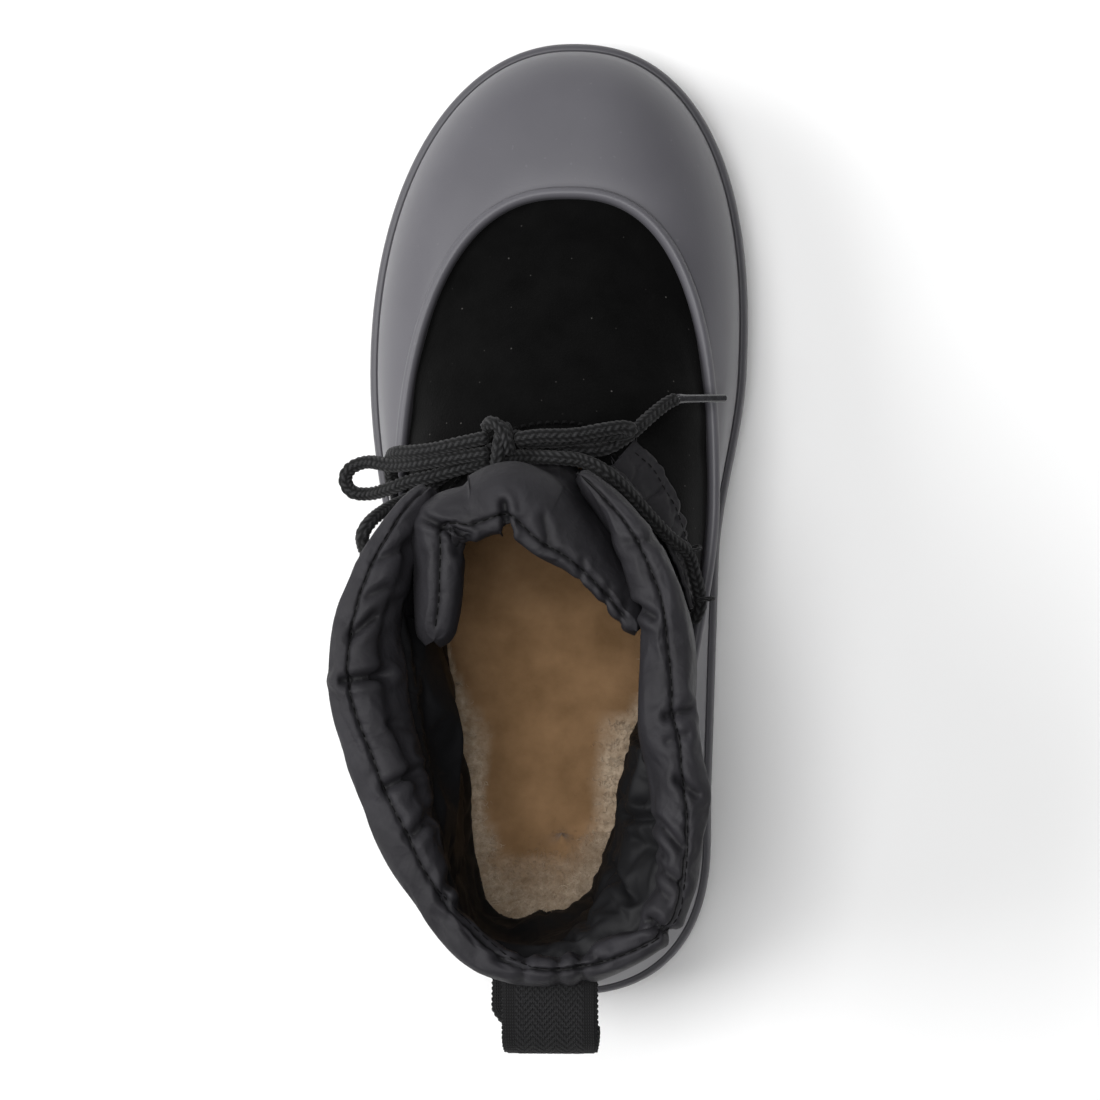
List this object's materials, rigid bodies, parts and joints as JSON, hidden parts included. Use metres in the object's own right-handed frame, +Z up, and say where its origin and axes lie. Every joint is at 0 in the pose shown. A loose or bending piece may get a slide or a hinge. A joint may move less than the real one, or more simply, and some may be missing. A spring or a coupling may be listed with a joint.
{
  "type": "lace-up winter boot",
  "caption": "Left lace-up winter boot: moulded foam shell, suede upper, padded nylon collar and tongue, fleece insole, tied cord lace and a heel pull loop.",
  "frame": {"origin": "on the ground, midway between the toe and the end of the pull loop and midway across the sole", "axes": "+Z up, +Y towards the toe, +X towards the inner side of the foot"},
  "size_m": [0.1238, 0.3065, 0.1531],
  "materials": {
    "shell": "smooth moulded foam, satin",
    "suede": "napped, matte",
    "outsole": "moulded, matte",
    "fleece": "short fleece",
    "nylon": "padded, slight sheen",
    "cord": "round braid, matte",
    "webbing": "woven, matte",
    "tip": "glossy"
  },
  "bodies": {
    "root": {"shell": "shell", "upper": "suede", "outsole": "outsole", "insole": "fleece", "shaft": "nylon", "tongue": "nylon", "facing_inner": "nylon", "facing_outer": "nylon", "lace_loop_inner_1": "webbing", "lace_loop_inner_2": "webbing", "lace_loop_outer_1": "webbing", "lace_loop_outer_2": "webbing", "lace_crossings": "cord", "lace_knot": "cord", "lace_bow_outer": "cord", "lace_bow_inner": "cord", "lace_end_outer": "cord", "lace_end_inner": "cord", "lace_tip_outer": "tip", "lace_tip_inner": "tip", "pull_loop": "webbing"}
  },
  "joints": []
}
